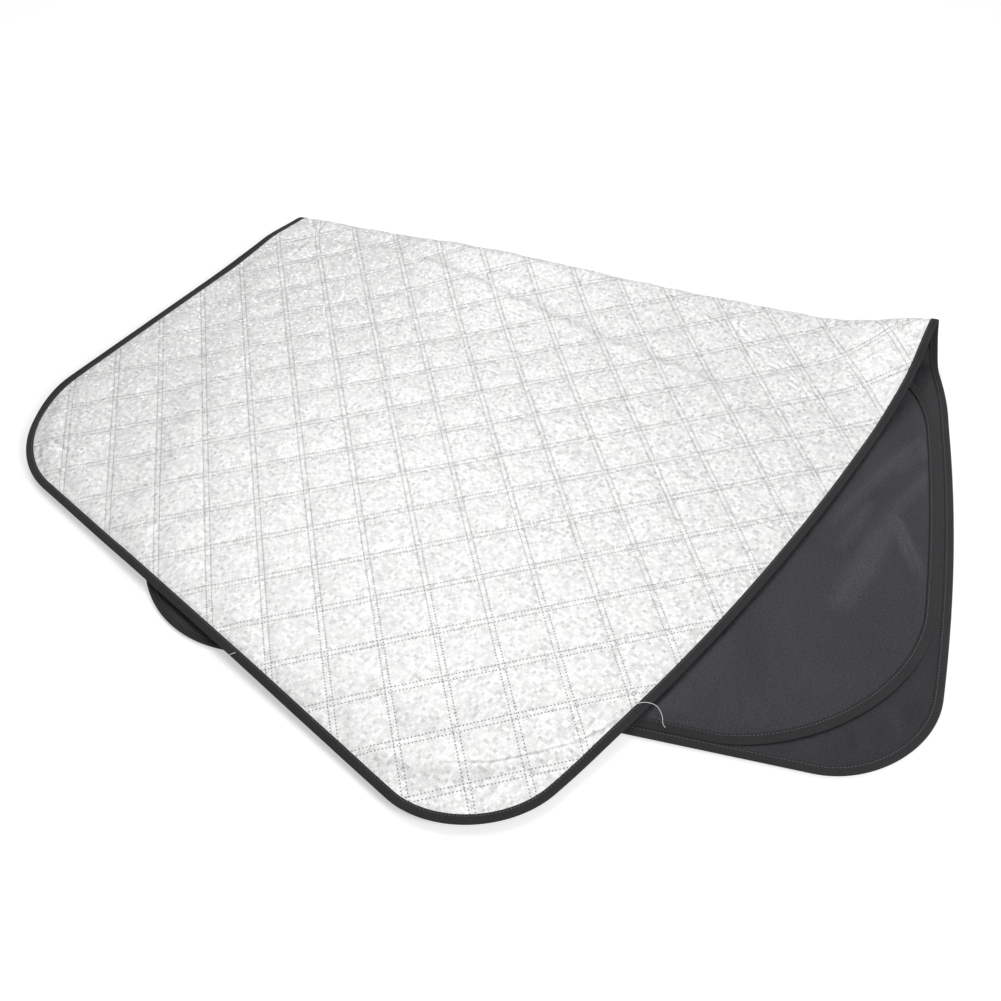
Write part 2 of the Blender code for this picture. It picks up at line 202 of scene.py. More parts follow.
def smooth(value):
    """Ease from 0 to 1 as value goes from 0 to 1."""
    value = np.clip(value, 0, 1)
    return value * value * (3 - 2 * value)


def bow(points):
    """Bend the straight lower edge of the flat drawing into its belly, and fade that out upwards."""
    x, y = points[:, 0], points[:, 1]
    drop = BELLY * (1 - np.abs(2 * x / BOTTOM_WIDTH) ** BELLY_POWER) * (1 - y / SIDE_RISE)
    return np.column_stack([x, y - drop])


def rounded_outline(corners, radii, step):
    """Closed outline of straight sides and round corners, counter-clockwise, as evenly spaced points."""
    corners = np.array(corners, float)
    points = []
    for i, (corner, radius) in enumerate(zip(corners, radii)):
        before = corners[i - 1] - corner
        after = corners[(i + 1) % len(corners)] - corner
        before, after = before / np.linalg.norm(before), after / np.linalg.norm(after)
        half = math.acos(before @ after) / 2
        middle = (before + after) / np.linalg.norm(before + after)
        centre = corner + middle * radius / math.sin(half)
        start = math.atan2(*(corner + before * radius / math.tan(half) - centre)[::-1])
        sweep = math.pi - 2 * half
        turns = start + sweep * np.linspace(0, 1, max(4, math.ceil(radius * sweep / step)) + 1)
        points.append(centre + radius * np.column_stack([np.cos(turns), np.sin(turns)]))
    outline = []
    for i, arc in enumerate(points):
        following = points[(i + 1) % len(points)][0]
        shares = np.linspace(0, 1, max(2, math.ceil(np.linalg.norm(following - arc[-1]) / step)) + 1)
        outline += [arc, arc[-1] + (following - arc[-1]) * shares[1:-1, None]]
    return bow(np.vstack(outline))


def inward(points):
    """Unit vectors square to a closed counter-clockwise outline, pointing in."""
    tangent = np.roll(points, -1, axis=0) - np.roll(points, 1, axis=0)
    tangent = tangent / np.linalg.norm(tangent, axis=1)[:, None]
    return np.column_stack([-tangent[:, 1], tangent[:, 0]])


def travelled(points):
    """Distance along a line of points, up to each of them."""
    return np.concatenate([[0], np.cumsum(np.linalg.norm(np.diff(points, axis=0), axis=1))])


def shade_outline(step):
    """Edge of the shade."""
    wide, narrow = BOTTOM_WIDTH / 2, TOP_WIDTH / 2
    corners = [(-narrow, SIDE_RISE), (-wide, 0.0), (wide, 0.0), (narrow, SIDE_RISE)]
    radii = [UPPER_CORNER_RADIUS, LOWER_CORNER_RADIUS, LOWER_CORNER_RADIUS, UPPER_CORNER_RADIUS]
    return rounded_outline(corners, radii, step)


def wing_outline(side, step):
    """Edge of a wing turned in; side is -1 for the front half and 1 for the back half."""
    sewn = (BINDING_WIDTH - TAPE_WEB) * math.hypot(1, LEAN)
    low, high = WING_MARGIN, SIDE_RISE - WING_MARGIN
    outer_low = BOTTOM_WIDTH / 2 - LEAN * low - sewn
    outer_high = BOTTOM_WIDTH / 2 - LEAN * high - sewn
    free = BOTTOM_WIDTH / 2 - WING_REACH
    corners = [(-outer_high, high), (-outer_low, low), (-free, low), (-free, high)]
    radii = [WING_SEWN_RADIUS, WING_SEWN_RADIUS, WING_FREE_RADIUS, WING_FREE_RADIUS]
    if side > 0:
        corners = [(-x, y) for x, y in corners[::-1]]
        radii = radii[::-1]
    return rounded_outline(corners, radii, step)


def side_distance(points):
    """Distance in from the nearer short edge."""
    return (BOTTOM_WIDTH / 2 - LEAN * points[:, 1] - np.abs(points[:, 0])) / math.hypot(1, LEAN)


def to_line(points, line, closed=False):
    """Distance from each point to a line of points, and how far along the line the nearest place is."""
    line = np.asarray(line, float)
    if closed:
        line = np.vstack([line, line[:1]])
    side = np.diff(line, axis=0)
    length = np.linalg.norm(side, axis=1)
    start = travelled(line)[:-1]
    distance, place = np.empty(len(points)), np.empty(len(points))
    for first in range(0, len(points), 4000):
        away = points[first:first + 4000, None, :] - line[None, :-1, :]
        share = np.clip((away * side).sum(2) / (length ** 2), 0, 1)
        gap = np.linalg.norm(away - share[:, :, None] * side, axis=2)
        nearest = gap.argmin(axis=1)
        rows = np.arange(len(gap))
        distance[first:first + 4000] = gap[rows, nearest]
        place[first:first + 4000] = start[nearest] + share[rows, nearest] * length[nearest]
    return distance, place


def inside_by(points, outline):
    """How far inside a closed outline each point lies; negative outside."""
    crossings = np.zeros(len(points), int)
    following = np.roll(outline, -1, axis=0)
    for here, ahead in zip(outline, following):
        crosses = (here[1] > points[:, 1]) != (ahead[1] > points[:, 1])
        at = here[0] + (points[:, 1] - here[1]) * (ahead[0] - here[0]) / (ahead[1] - here[1] + 1e-15)
        crossings += crosses & (at > points[:, 0])
    return to_line(points, outline, closed=True)[0] * np.where(crossings % 2 == 1, 1, -1)


SHADE_EDGE = shade_outline(0.016)
FRONT_WING_EDGE = wing_outline(-1, 0.016)
BACK_WING_EDGE = wing_outline(1, 0.016)


# The fold


def fold_foot():
    """Point of the lower edge where the fold starts."""
    return bow(np.array([[FOLD_FOOT_X, 0.0]]))[0]


def along_and_across(points):
    """Distance along the fold from its foot, and distance across it, positive on the back half."""
    away = points - fold_foot()
    return away @ ALONG, away @ ACROSS


def loop_height(along):
    """Open height of the fold's loop, eased between the stated places."""
    height = np.full(along.shape, LOOP_HEIGHT[0])
    for left, right, low, high in zip(LOOP_AT, LOOP_AT[1:], LOOP_HEIGHT, LOOP_HEIGHT[1:]):
        share = (along - left) / (right - left)
        height = np.where(share > 0, low + (high - low) * smooth(share), height)
    return height


def crease_section():
    """Section of the creased fold, one unit long: shares of its length, y, z and slope, down to the floor."""
    share = np.linspace(0, 1, 201)
    slope = np.radians(np.interp(share, CREASE_AT, CREASE_SLOPE_DEG))
    middle = (slope[1:] + slope[:-1]) / 2
    y = np.concatenate([[0], np.cumsum(np.cos(middle))]) * share[1]
    z = np.concatenate([[0], np.cumsum(np.sin(middle))]) * share[1]
    return share, y - y[-1] * share, z - z[-1], slope


def folded(points, level):
    """Fold flat points; level is the height over the panel's inner face, towards the foil."""
    along, across = along_and_across(points)
    height = loop_height(along)
    quarter = math.pi * height / 4
    front, back = across < -quarter, across > quarter
    run = np.clip((-across - quarter) / LOOP_RUN, 0, 1)
    sag = LOOP_SAG * (1 - run) ** 2 + (1 - LOOP_SAG) * (1 - smooth(run))

    creased = 1 - smooth(along / CREASE_LENGTH)
    place = (np.clip(across / quarter, -1, 1) + 1) / 2
    share, crease_y, crease_z, slope = crease_section()
    crease_angle = np.clip(-np.interp(place, share, slope) - math.pi / 2, -math.pi / 2, math.pi / 2)
    round_angle = (place - 0.5) * math.pi
    angle = round_angle + creased * (crease_angle - round_angle)
    loop_y = height / 2 * np.cos(round_angle)
    loop_y += creased * (2 * quarter * np.interp(place, share, crease_y) - loop_y)
    loop_z = height / 2 * (1 - np.sin(round_angle))
    loop_z += creased * (2 * quarter * np.interp(place, share, crease_z) - loop_z)

    x = -along
    y = np.where(front | back, -np.abs(across), loop_y - quarter)
    z = PANEL_THICKNESS + loop_z
    z = np.where(front, FRONT_LEVEL + (z - FRONT_LEVEL) * sag, z)

    x = x - END_DRAW * (1 - smooth(along / END_DRAW_LENGTH)) * (1 - smooth(np.abs(across) / END_DRAW_WIDTH))

    share = smooth((across - quarter) / BACK_BLEND)
    turn = math.radians(BACK_TURN_DEG) * share
    turned_x = np.cos(turn) * x - np.sin(turn) * y
    turned_y = np.sin(turn) * x + np.cos(turn) * y + BACK_SHIFT * share
    return np.column_stack([turned_x, turned_y + np.cos(angle) * level, z - np.sin(angle) * level])


def frame_origin():
    """Where the frame's origin lies in the fold's own axes."""
    edge = shade_outline(0.002)
    levels = (PANEL_THICKNESS - TAPE_CHAMFER, TAPE_LOW + TAPE_CHAMFER)
    places = np.vstack([folded(edge, np.full(len(edge), level)) for level in levels])
    low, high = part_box("edge_binding")
    middle = (places.min(axis=0) + places.max(axis=0)) / 2
    return np.array([middle[0] - (low.x + high.x) / 2, middle[1] - (low.y + high.y) / 2, 0.0])


ORIGIN = frame_origin()


def overhang(points):
    """How far a place of one half lies beyond the edge of the other half."""
    along, across = along_and_across(points)
    mirrored = fold_foot() + np.outer(along, ALONG) - np.outer(across, ACROSS)
    return -inside_by(mirrored, SHADE_EDGE)


def sinking(points):
    """How far the front half sinks where no wing, or nothing at all, lies under it."""
    across = along_and_across(points)[1]
    front = smooth(-across / 0.10)
    corners = CORNER_SINK * smooth(overhang(points) / CORNER_SINK_OVER)
    step = WING_STEP * smooth(-inside_by(points, FRONT_WING_EDGE) / WING_STEP_OVER)
    return front * (corners + step)


def bent(points, level):
    """Places of a sheet's points in the frame: kinks eased, edges pinched and free corners sunk."""
    from_tape = inside_by(points, SHADE_EDGE) - BINDING_WIDTH
    level = PINCH_LEVEL + (level - PINCH_LEVEL) * (PINCH + (1 - PINCH) * smooth(from_tape / PINCH_RUN))
    along = along_and_across(points)[0]
    ease = FOLD_EASE * loop_height(along) * smooth(0.15 + along / CREASE_LENGTH)
    spread = np.outer(ease, ACROSS)
    places = sum(share * folded(points + offset * spread, level) for offset, share in EASING)
    places[:, 2] -= sinking(points)
    places += far_edge_pull(points)
    return places - ORIGIN


def far_edge_pull(points):
    """How the upper edge curls up in front, is drawn in at the fold, and is tucked under at the back."""
    across = along_and_across(points)[1]
    from_top = SIDE_RISE - points[:, 1]
    curl = FAR_CURL * np.clip(1 - from_top / FAR_CURL_OVER, 0, 1) ** 2 * smooth((-across - 0.02) / 0.10)
    drawn = FAR_DRAW * (1 - smooth(from_top / FAR_DRAW_LENGTH))
    drawn = drawn * (1 - smooth(np.abs(across) / FAR_DRAW_WIDTH))
    tucked = BACK_TUCK * smooth((across - 0.40) / 0.15) * smooth(0.5 - from_top / 0.30)
    return np.column_stack([drawn + tucked, tucked, curl])


# Meshes


def grid(low, high, step):
    """Square grid of flat points."""
    columns = np.arange(low[0], high[0], step)
    rows = np.arange(low[1], high[1], step)
    return np.stack(np.meshgrid(columns, rows), axis=-1).reshape(-1, 2)


def fold_rows(column_step, arc_rows):
    """Flat points in rows along the fold, so that its loop is round."""
    length = SIDE_RISE / math.cos(FOLD_LEAN) + BELLY
    columns = np.linspace(0, length, math.ceil(length / column_step) + 1)
    quarter = math.pi * loop_height(columns) / 4
    shares = np.linspace(-1, 1, arc_rows + 1)
    rows = [fold_foot() + np.outer(columns, ALONG) + np.outer(quarter * share, ACROSS) for share in shares]
    return np.vstack(rows)


def triangulated(loops, loose):
    """Triangles of a flat region between closed loops of points, through loose points."""
    points = np.vstack(loops + [loose])
    edges, first = [], 0
    for loop in loops:
        edges += [(first + i, first + (i + 1) % len(loop)) for i in range(len(loop))]
        first += len(loop)
    found = delaunay_2d_cdt([Vector(p) for p in points], edges, [], 1, 1e-7)
    return np.array([tuple(p) for p in found[0]]), [tuple(face) for face in found[2]]


def slab(upper, lower, upper_level, lower_level, rim_count):
    """Closed sheet between two flat triangulations whose first rim_count points are the same outline."""
    upper_points, upper_faces = upper
    lower_points, lower_faces = lower
    places = np.vstack([bent(upper_points, upper_level), bent(lower_points, lower_level)])
    first = len(upper_points)
    faces = list(upper_faces) + [tuple(first + i for i in face[::-1]) for face in lower_faces]
    for i in range(rim_count):
        following = (i + 1) % rim_count
        faces += [(i, first + i, first + following, following)]
    return places, faces, np.vstack([upper_points, lower_points])


def add_piece(name, places, faces, flat, material, slot, marks=None):
    """Make a piece whose UV map holds its flat coordinates in metres; marks are each point's painted shading.
    """
    mesh = bpy.data.meshes.new(name)
    mesh.from_pydata(places.tolist(), [], faces)
    mesh.materials.append(material)
    layer = mesh.uv_layers.new(name="flat")
    corner = np.empty(len(mesh.loops), int)
    mesh.loops.foreach_get("vertex_index", corner)
    layer.data.foreach_set("uv", np.asarray(flat, float)[corner].ravel())
    if marks is not None:
        mesh.attributes.new("mark", "FLOAT", "POINT").data.foreach_set("value", marks)
    mesh.shade_smooth()
    mesh.set_sharp_from_angle(angle=math.radians(50))
    piece = bpy.data.objects.new(name, mesh)
    bpy.context.scene.collection.objects.link(piece)
    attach(piece, "root")
    return piece


# Materials


class Value:
    """A shader socket whose arithmetic adds Math nodes."""

    def __init__(self, finish, socket):
        self.finish = finish
        self.socket = socket

    def __add__(self, other):
        return self.finish.maths("ADD", self, other)

    __radd__ = __add__

    def __sub__(self, other):
        return self.finish.maths("SUBTRACT", self, other)

    def __rsub__(self, other):
        return self.finish.maths("SUBTRACT", other, self)

    def __mul__(self, other):
        return self.finish.maths("MULTIPLY", self, other)

    __rmul__ = __mul__

    def __truediv__(self, other):
        return self.finish.maths("DIVIDE", self, other)


class Tree:
    """The nodes of a material or of the world."""

    def __init__(self, owner):
        owner.use_nodes = True
        self.nodes = owner.node_tree.nodes
        self.links = owner.node_tree.links

    def node(self, kind, settings, inputs, output=0):
        """Add a node: its settings first, then the values or links of its sockets."""
        made = self.nodes.new(kind)
        for name, value in settings.items():
            setattr(made, name, value)
        for name, value in inputs.items():
            self.join(made.inputs[name], value)
        return Value(self, made.outputs[output])

    def join(self, socket, value):
        """Link a value to a socket, or set the socket to a number, colour or vector."""
        if isinstance(value, Value):
            self.links.new(value.socket, socket)
        else:
            socket.default_value = value

    def maths(self, operation, *values):
        return self.node("ShaderNodeMath", {"operation": operation}, dict(enumerate(values)))

    def vector(self, operation, *values, output=0):
        return self.node("ShaderNodeVectorMath", {"operation": operation}, dict(enumerate(values)), output)

    def seen_directly(self):
        """1 for rays that show the backdrop itself: to the camera, off gloss and through glass."""
        rays = [self.node("ShaderNodeLightPath", {}, {}, name)
                for name in ("Is Camera Ray", "Is Glossy Ray", "Is Transmission Ray")]
        return self.maths("MAXIMUM", self.maths("MAXIMUM", rays[0], rays[1]), rays[2])


class Finish(Tree):
    """A material with its Principled shader."""

    def __init__(self, name):
        self.material = bpy.data.materials.new(name)
        super().__init__(self.material)
        self.shader = self.nodes["Principled BSDF"]

    def flat(self):
        """The piece's flat coordinates in metres."""
        return self.node("ShaderNodeUVMap", {"uv_map": "flat"}, {})

    def mark(self):
        """The piece's painted shading at a place, painted shade or painted highlight as its material uses it.
        """
        return self.node("ShaderNodeAttribute", {"attribute_name": "mark"}, {}, "Fac")

    def part(self, vector, axis):
        """One coordinate of a vector."""
        return self.node("ShaderNodeSeparateXYZ", {}, {0: vector}, axis)

    def dot(self, vector, direction):
        return self.vector("DOT_PRODUCT", vector, (*direction, 0.0), output="Value")

    def fade(self, value, start, end):
        """1 where value is start and 0 where it is end, eased between them."""
        settings = {"interpolation_type": "SMOOTHSTEP"}
        inputs = {"Value": value, "From Min": start, "From Max": end, "To Min": 1.0, "To Max": 0.0}
        return self.node("ShaderNodeMapRange", settings, inputs)

    def noise(self, vector, size, detail=2.0, roughness=0.5):
        """Noise whose patches are about size metres wide."""
        inputs = {"Vector": vector, "Scale": 1 / size, "Detail": detail, "Roughness": roughness}
        return self.node("ShaderNodeTexNoise", {}, inputs)

    def chance(self, cell, shift):
        """An even random value for each cell."""
        place = self.vector("ADD", cell, (shift, 2 * shift, 0.0))
        return self.node("ShaderNodeTexWhiteNoise", {"noise_dimensions": "2D"}, {"Vector": place})

    def mix(self, share, first, second):
        """Colour between two colours."""
        return self.node("ShaderNodeMix", {"data_type": "RGBA"}, {0: share, 6: first, 7: second}, 2)

    def scaled(self, colour, value):
        """A colour or vector times a value."""
        return self.node("ShaderNodeVectorMath", {"operation": "SCALE"}, {0: colour, "Scale": value})

    def bump(self, height):
        """Tilt the surface by a height in metres."""
        normal = self.node("ShaderNodeBump", {}, {"Strength": 1.0, "Distance": 1.0, "Height": height})
        self.join(self.shader.inputs["Normal"], normal)

    def set(self, **values):
        """Set the shader's sockets; an underscore stands for a space."""
        for name, value in values.items():
            self.join(self.shader.inputs[name.replace("_", " ")], value)


def quilt_axes():
    """Directions of the two families of seams."""
    turn = math.radians(QUILT_TURN_DEG)
    return np.array([math.cos(turn), math.sin(turn)]), np.array([-math.sin(turn), math.cos(turn)])


def foil_finish():
    """Silver film pressed into small squares, with two rows of pressed dots along each seam."""
    foil = Finish("silver_mosaic_foil")
    place = foil.flat()
    squares = foil.scaled(place, 1 / MOSAIC)
    cell = foil.vector("FLOOR", squares)
    dull, bright, tilt = (foil.chance(cell, shift) for shift in (3.0, 17.0, 41.0))
    cloud = foil.noise(place, 0.09, 2.0)
    slanted = foil.part(place, 1) + 0.35 * foil.part(place, 0)
    # painted light: 1 towards the lower edge, where the foil is painted paler; it also sets how often dull
    # squares and painted glints show
    painted_light_and_square_mix = foil.fade(slanted + 0.25 * (cloud - 0.5), 0.20, 0.66)
    away = foil.vector("LENGTH", foil.vector("SUBTRACT", place, (*NEAR_CORNER, 0.0)), output="Value")
    near = foil.fade(away, 0.05, 0.70)
    pressed = 0.66 + 0.20 * near

    dots, grooves = None, None
    from_crossing = foil.vector("SUBTRACT", place, (*QUILT_CROSSING, 0.0))
    one, two = quilt_axes()
    for axis, run in ((one, two), (two, one)):
        lane = foil.dot(from_crossing, axis) / QUILT_PITCH
        from_seam = foil.maths("ABSOLUTE", foil.maths("FRACT", lane + 0.5) - 0.5) * QUILT_PITCH
        from_row = foil.maths("ABSOLUTE", from_seam - SEAM_BAND / 2)
        step = foil.dot(from_crossing, run) / DOT_PITCH
        from_dot = foil.maths("ABSOLUTE", foil.maths("FRACT", step) - 0.5) * DOT_PITCH
        radius = foil.maths("SQRT", from_row * from_row + from_dot * from_dot)
        dot = foil.fade(radius, 0.45 * DOT_RADIUS, 1.15 * DOT_RADIUS)
        groove = foil.fade(from_row, 0.0003, 0.0013)
        dots = dot if dots is None else foil.maths("MAXIMUM", dots, dot)
        grooves = groove if grooves is None else foil.maths("MAXIMUM", grooves, groove)

    dull_square = foil.fade(dull - 0.22 * painted_light_and_square_mix, -0.02, 0.08)
    # painted glints: a few squares painted bright, fewer towards the lower edge
    painted_glint_square = 1.0 - foil.fade(bright + 0.05 * (1.0 - painted_light_and_square_mix), 0.90, 0.96)
    fine = foil.noise(place, 0.0012, 2.0)
    # painted reflection: each square's tone follows the random tilt of its facet
    tone = 0.75 + 0.12 * painted_light_and_square_mix + 0.05 * (cloud - 0.5) + 0.70 * (fine - 0.5) + 0.22 * (tilt - 0.5)
    tone = tone - 0.14 * dull_square + 0.24 * painted_glint_square * (1.0 - 0.6 * painted_light_and_square_mix)
    # painted shade along the seams' grooves, lighter near the lower corner
    tone = tone - (0.11 - 0.08 * near) * grooves
    tint = foil.mix(foil.noise(place, 0.03, 1.0), (0.975, 0.985, 1.0, 1.0), (1.0, 1.0, 0.965, 1.0))
    colour = foil.mix(dots * pressed, foil.scaled(tint, tone), (0.22, 0.22, 0.23, 1.0))
    # painted shading: darker in the creases and lighter on their shoulders
    colour = foil.scaled(colour, 1.0 - 0.30 * foil.mark())
    soft = foil.noise(place, 0.011, 2.0)
    facet = (foil.part(foil.vector("FRACTION", squares), 0) - 0.5) * (tilt - 0.5)
    height = 0.00025 * facet - 0.00025 * dots * pressed - 0.00008 * grooves
    height = height + 0.00024 * (fine - 0.5) + 0.0003 * (soft - 0.5)
    foil.set(Base_Color=colour, Roughness=0.42 + 0.14 * dull, Metallic=0.24 * (1.0 - dots))
    foil.bump(height)
    return foil.material


def cloth_finish(name, shade, sheen, thread):
    """Smooth black taffeta: a fine weave, soft clouds and a slight sheen."""
    cloth = Finish(name)
    place = cloth.flat()
    turns = 2 * math.pi / thread
    weft, warp = (cloth.maths("SINE", cloth.part(place, axis) * turns) for axis in (0, 1))
    weave = weft * warp
    cloud = cloth.noise(place, 0.06, 3.0)
    slub = cloth.noise(cloth.vector("MULTIPLY", place, (1.0, 5.0, 1.0)), 0.005, 2.0)
    grain = cloth.noise(place, 0.0020, 2.0)
    tone = 1.0 + 0.5 * (cloud - 0.5) + 0.3 * (slub - 0.5) + 1.8 * (grain - 0.5)
    # painted highlight on the wing's wrinkle ridges and on the lining where it stands up
    tone = tone * (1.0 + 0.6 * cloth.mark())
    cloth.set(Base_Color=cloth.scaled(shade, tone), Roughness=0.42 + 0.14 * (cloud - 0.5))
    cloth.shader.inputs["Specular IOR Level"].default_value = 0.25
    cloth.shader.inputs["Sheen Weight"].default_value = sheen
    cloth.shader.inputs["Sheen Roughness"].default_value = 0.4
    soft = cloth.noise(place, 0.018, 2.0)
    cloth.bump(0.00002 * weave + 0.00010 * (slub - 0.5) + 0.0010 * (soft - 0.5) + 0.0016 * (cloud - 0.5))
    return cloth.material


def tape_finish():
    """Matte black woven tape: cross ribs and a fine fuzz."""
    tape = Finish("black_woven_tape")
    place = tape.flat()
    ribs = tape.maths("SINE", tape.part(place, 0) * (2 * math.pi / 0.0013))
    threads = tape.maths("SINE", tape.part(place, 1) * (2 * math.pi / 0.0009))
    fuzz = tape.noise(place, 0.0011, 3.0)
    cloud = tape.noise(place, 0.03, 2.0)
    tone = 0.30 + 1.40 * fuzz + 0.40 * (cloud - 0.5) + 0.12 * ribs
    tape.set(Base_Color=tape.scaled((0.023, 0.023, 0.025), tone), Roughness=0.80)
    tape.shader.inputs["Specular IOR Level"].default_value = 0.25
    tape.shader.inputs["Sheen Weight"].default_value = 0.04
    tape.bump(0.00010 * ribs + 0.00004 * threads + 0.00018 * (fuzz - 0.5))
    return tape.material


def thread_finish(name, shade):
    """Spun sewing thread with its twist."""
    thread = Finish(name)
    place = thread.node("ShaderNodeTexCoord", {}, {}, "Object")
    twist = thread.noise(place, 0.0008, 1.0)
    thread.set(Base_Color=thread.scaled(shade, 0.8 + 0.4 * twist), Roughness=0.6)
    thread.bump(0.00006 * (twist - 0.5))
    return thread.material


# Relief of the sheets


def pads(points):
    """Shape of the pads between the seams: 0 on a seam, 1 in the middle of a pad."""
    away = (points - QUILT_CROSSING) / QUILT_PITCH
    rise = np.ones(len(points))
    for axis in quilt_axes():
        from_seam = np.abs((away @ axis + 0.5) % 1 - 0.5) * QUILT_PITCH
        share = np.clip((from_seam - SEAM_BAND / 2) / (QUILT_PITCH / 2 - SEAM_BAND / 2), 0, 1)
        rise = rise * (1 - (1 - share) ** 2.4)
    return rise


def ripples(points, length, seed, count=14):
    """Even, soft ripples of about a given wave length, from -1 to 1."""
    chance = np.random.default_rng(seed)
    total = np.zeros(len(points))
    for _ in range(count):
        turn, shift = chance.uniform(0, 2 * math.pi, 2)
        wave = 2 * math.pi / (length * chance.uniform(0.7, 1.5))
        total += np.sin(wave * (points @ [math.cos(turn), math.sin(turn)]) + shift)
    return total / math.sqrt(2 * count)


def spread(start, end, count, length, lean, seed, depth):
    """Short creases scattered beside a line, leaning up to lean degrees off it."""
    chance = np.random.default_rng(seed)
    start, end = np.array(start), np.array(end)
    axis = (end - start) / np.linalg.norm(end - start)
    side = np.array([-axis[1], axis[0]])
    creases = []
    for _ in range(count):
        middle = start + (end - start) * chance.uniform() + side * chance.normal(0, 0.010)
        turn = math.radians(chance.uniform(-lean, lean))
        direction = math.cos(turn) * axis + math.sin(turn) * side
        half = direction * length * chance.uniform(0.5, 1.0) / 2
        creases.append(((middle - half, middle + half), depth * chance.uniform(0.6, 1.2), CREASE_WIDTH))
    return creases


def foil_creases():
    """Creases of the foil: lines in the flat drawing, with their depth and width."""
    creases = [(WING_CREASE, 0.0008, 0.0011)]
    for start, end in zip(CRUMPLE[:-1], CRUMPLE[1:]):
        creases += spread(start, end, 9, 0.030, 40, len(creases), 0.0006)
    for place in np.linspace(0, 1, 9):
        middle = np.array(CREST_RIPPLES[0]) * (1 - place) + np.array(CREST_RIPPLES[1]) * place
        creases.append(((middle - 0.010 * ACROSS, middle + 0.010 * ACROSS), 0.0006, 0.0016))
    for corner, reach, turns in CORNER_PULLS:
        for k, turn in enumerate(np.radians(turns)):
            direction = np.array([math.cos(turn), math.sin(turn)])
            far = reach * (0.6 + 0.4 * (k % 2))
            line = (np.array(corner) + 0.012 * direction, np.array(corner) + far * direction)
            creases.append((line, 0.0007, 0.0022))
    return creases


def crease_rows(creases):
    """Flat points along the creases and beside them, so that the foil's mesh can follow them."""
    rows = []
    for line, _, width in creases:
        line = np.asarray(line, float)
        for start, end in zip(line[:-1], line[1:]):
            direction = (end - start) / np.linalg.norm(end - start)
            side = np.array([-direction[1], direction[0]])
            steps = np.linspace(0, 1, max(3, math.ceil(np.linalg.norm(end - start) / 0.004)) + 1)[:-1]
            run = start + steps[:, None] * (end - start)
            rows += [run + side * width * share for share in (-2.2, -1.0, 0.0, 1.0, 2.2)]
    return np.vstack(rows)


def creased(points, creases):
    """Height of the creases at flat points: a narrow fold with a low rise on either side."""
    height = np.zeros(len(points))
    for line, depth, width in creases:
        line = np.asarray(line, float)
        low, high = line.min(axis=0) - 6 * width, line.max(axis=0) + 6 * width
        near = ((points > low) & (points < high)).all(axis=1)
        if not near.any():
            continue
        distance, place = to_line(points[near], line)
        place = place / travelled(line)[-1]
        fold = -np.exp(-(distance / width) ** 2) + 0.45 * np.exp(-((distance - 2.2 * width) / width) ** 2)
        height[near] += depth * fold * (1 - (2 * place - 1) ** 4)
    return height


def foil_relief(points, under_tape, creases):
    """Height of the foil over the panel's inner face, and its painted shading: painted shade in the creases
    and beside the turned-in wing's edge, painted highlight on the creases' shoulders; the first points,
    under_tape in number, are in the tape."""
    along, across = along_and_across(points)
    quarter = math.pi * loop_height(along) / 4
    unpressed = smooth((quarter - across) / (PRESS_SHARE * quarter))
    cell = np.floor(((points - QUILT_CROSSING) / QUILT_PITCH) @ np.column_stack(quilt_axes())).astype(int)
    own = 1 + 0.18 * np.sin(12.9898 * cell[:, 0] + 78.233 * cell[:, 1])
    free = SEAM_LEVEL + PAD_PUFF * own * pads(points) + 0.00025 * ripples(points, 0.03, 3)
    from_wing = inside_by(points, FRONT_WING_EDGE)
    free += 0.0007 * smooth((from_wing + 0.004) / 0.008)
    free += 0.0004 * np.exp(-((from_wing - 0.005) / 0.004) ** 2)
    free -= 0.0004 * np.exp(-((from_wing + 0.003) / 0.002) ** 2)
    folds = creased(points, creases)
    free += folds
    from_edge, place = to_line(points, SHADE_EDGE, closed=True)
    pucker = np.sin(2 * math.pi * place / 0.017 + 2 * np.sin(2 * math.pi * place / 0.13))
    free += 0.0004 * pucker * np.exp(-np.clip(from_edge - BINDING_WIDTH, 0, 1) / 0.010)
    pressed = PANEL_THICKNESS - 0.0005 * (1 - smooth(pads(points) / 0.3))
    level = pressed + (free - pressed) * unpressed
    level[:under_tape] = TAPE_LIP - TAPE_GAP
    # painted shade in the creases' valleys and in the groove beside the turned-in wing's edge, painted
    # highlight on their shoulders
    marks = np.clip(-folds / 0.0008, -0.5, 1.2) + 0.35 * np.exp(-((from_wing + 0.003) / 0.0022) ** 2)
    marks = marks * unpressed
    marks[:under_tape] = 0
    return level, marks


# Pieces


def quilt_grid():
    """Flat points in line with the seams, closer together beside them, and sparse on the pressed half."""
    half = QUILT_PITCH / 2
    band = SEAM_BAND / 2
    beside = [0.0, band, band + 0.003, band + 0.0065, band + 0.0105, band + 0.015, band + 0.0198]
    offsets = np.array([-half] + [-place for place in beside[:0:-1]] + beside)
    count = math.ceil(BOTTOM_WIDTH / QUILT_PITCH)
    cells = np.arange(-count, count + 1)
    marks = (cells[:, None] * QUILT_PITCH + offsets).ravel()
    number = np.arange(len(marks))
    one, two = quilt_axes()
    across, up = np.meshgrid(marks, marks)
    points = QUILT_CROSSING + across.reshape(-1, 1) * one + up.reshape(-1, 1) * two
    first, second = (part.ravel() for part in np.meshgrid(number, number))
    along, over = along_and_across(points)
    pressed = over > math.pi * loop_height(along) / 4
    on_seam = [(part % 7 == 0, part % 2 == 0) for part in (first, second)]
    (one_seam, one_even), (two_seam, two_even) = on_seam
    sparse = one_seam & two_seam | one_seam & two_even | two_seam & one_even
    return points[~pressed | sparse]


def near_shade(points):
    """The points that can lie on the shade at all, to save work."""
    low, high = SHADE_EDGE.min(axis=0), SHADE_EDGE.max(axis=0)
    return points[((points > low) & (points < high)).all(axis=1)]


